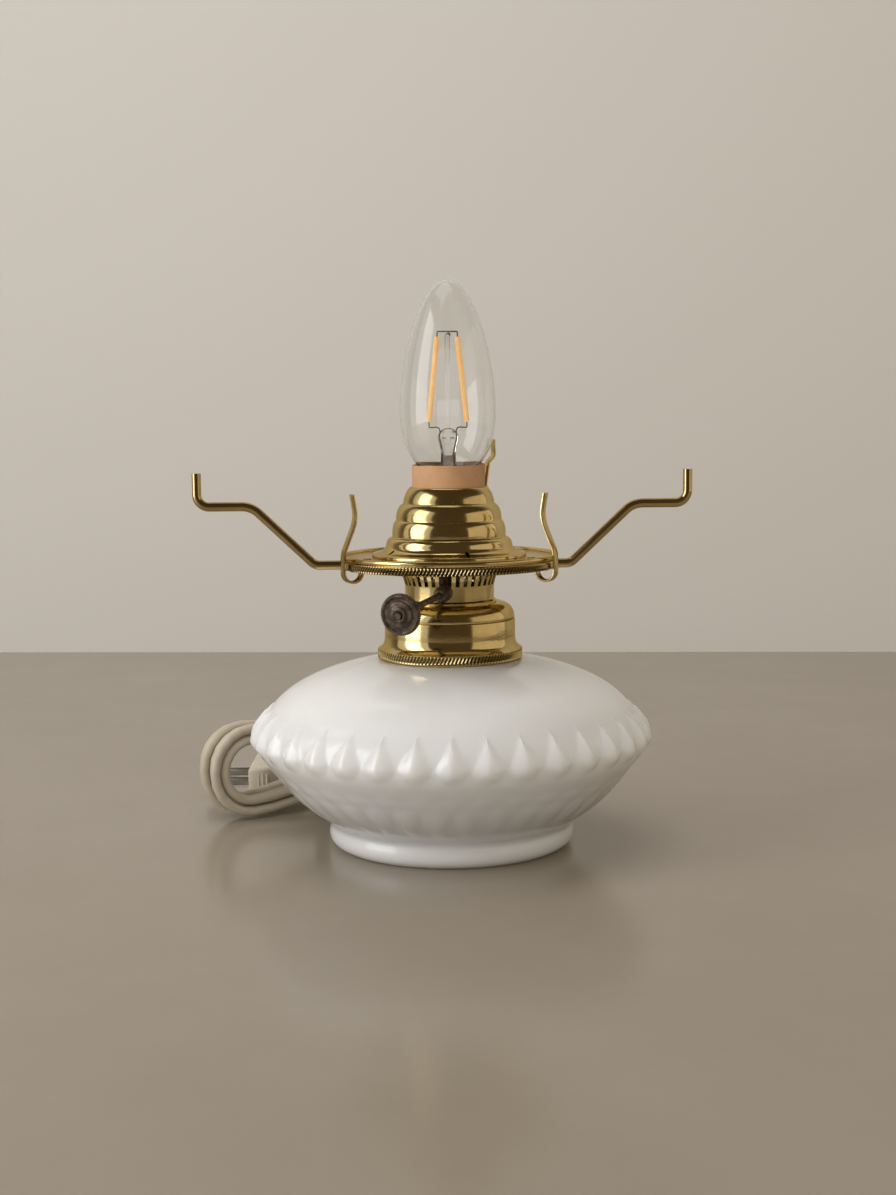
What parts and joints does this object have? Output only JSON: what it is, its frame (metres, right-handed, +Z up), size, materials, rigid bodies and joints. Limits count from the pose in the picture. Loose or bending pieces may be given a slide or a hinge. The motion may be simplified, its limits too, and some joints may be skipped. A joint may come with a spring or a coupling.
{
  "type": "table lamp",
  "caption": "Electric table lamp in oil-lamp style: milk-glass font with a petal band, brass burner with knob, shade arms and chimney prongs, candle bulb, tied lead and plug.",
  "frame": {"origin": "on the lamp's axis at the floor, under the glass foot", "axes": "+Z up along the lamp's axis, the arms along X, the knob towards -Y"},
  "size_m": [0.1923, 0.1804, 0.2074],
  "materials": {
    "milk_glass": "white opal glass, glossy",
    "plaster": "cast plaster, matt",
    "brass": "polished and lacquered",
    "dark_bronze": "darkened bronze",
    "fibre": "salmon insulating fibre, matt",
    "dark_plastic": "moulded, dark",
    "pale_plastic": "moulded, pale",
    "steel": "bright plated steel",
    "cord_cover": "cream soft cover, matt",
    "cream_plastic": "cream moulding",
    "clear_glass": "clear, thin",
    "black_glass": "black vitrite",
    "phosphor": "orange phosphor coat",
    "board": "green board"
  },
  "bodies": {
    "lamp": {"glass_font": "milk_glass", "collar_plaster": "plaster", "collar": "brass", "burner_base": "brass", "burner_throat": "brass", "gallery": "brass", "dome": "brass", "sleeve_clip": "brass", "screw_shell": "brass", "centre_contact": "brass", "pipe_nut": "brass", "pipe_washer": "brass", "switch_saddle": "brass", "arm_straps": "brass", "prong_rivets": "brass", "shaft_bush": "dark_bronze", "insulating_sleeve": "fibre", "socket_body": "dark_plastic", "switch_case": "dark_plastic", "terminal_screws": "steel", "lamp_pipe": "steel", "plug_pins": "steel", "inner_cord": "cord_cover", "cord_lead": "cord_cover", "cord_hank": "cord_cover", "cord_tail": "cord_cover", "strain_relief": "cord_cover", "cord_tie": "cream_plastic", "plug_body": "cream_plastic"},
    "knob": {"knob_wheel": "dark_bronze", "knob_shaft": "dark_bronze", "switch_rotor": "pale_plastic"},
    "bulb": {"bulb_glass": "clear_glass", "bulb_cap": "steel", "cap_insulator": "black_glass", "cap_contact": "steel", "bulb_stem": "clear_glass", "filament_left": "phosphor", "filament_right": "phosphor", "filament_bracket": "steel", "lead_wires": "steel", "driver_board": "board"},
    "arm_left": {"arm_left": "brass"},
    "arm_right": {"arm_right": "brass"},
    "prong_left": {"prong_left": "brass"},
    "prong_right": {"prong_right": "brass"},
    "prong_back": {"prong_back": "brass"}
  },
  "joints": [
    {"name": "knob_turn", "type": "hinge", "parent": "lamp", "child": "knob", "pos_m": [0.00423, -0.0018, 0.0961], "axis": [-0.3891, -0.9167, -0.0906], "continuous": true},
    {"name": "bulb_draw", "type": "slide", "parent": "lamp", "child": "bulb", "axis": [0, 0, 1], "range_m": [0, 0.03]},
    {"name": "arm_left_swing", "type": "hinge", "parent": "lamp", "child": "arm_left", "pos_m": [-0.0325, 0, 0.1038], "axis": [1, 0, 0], "range_deg": [-90, 90]},
    {"name": "arm_right_swing", "type": "hinge", "parent": "lamp", "child": "arm_right", "pos_m": [0.0325, 0, 0.1038], "axis": [1, 0, 0], "range_deg": [-90, 90]},
    {"name": "prong_left_spring", "type": "hinge", "parent": "lamp", "child": "prong_left", "pos_m": [-0.02955, -0.01378, 0.10525], "axis": [0.4226, -0.9063, 0], "range_deg": [0, 6], "stiffness_Nm_per_rad": 0.05},
    {"name": "prong_right_spring", "type": "hinge", "parent": "lamp", "child": "prong_right", "pos_m": [0.02955, -0.01378, 0.10525], "axis": [0.4226, 0.9063, 0], "range_deg": [0, 6], "stiffness_Nm_per_rad": 0.05},
    {"name": "prong_back_spring", "type": "hinge", "parent": "lamp", "child": "prong_back", "pos_m": [0, 0.0326, 0.10525], "axis": [-1, 0, 0], "range_deg": [0, 6], "stiffness_Nm_per_rad": 0.05}
  ]
}
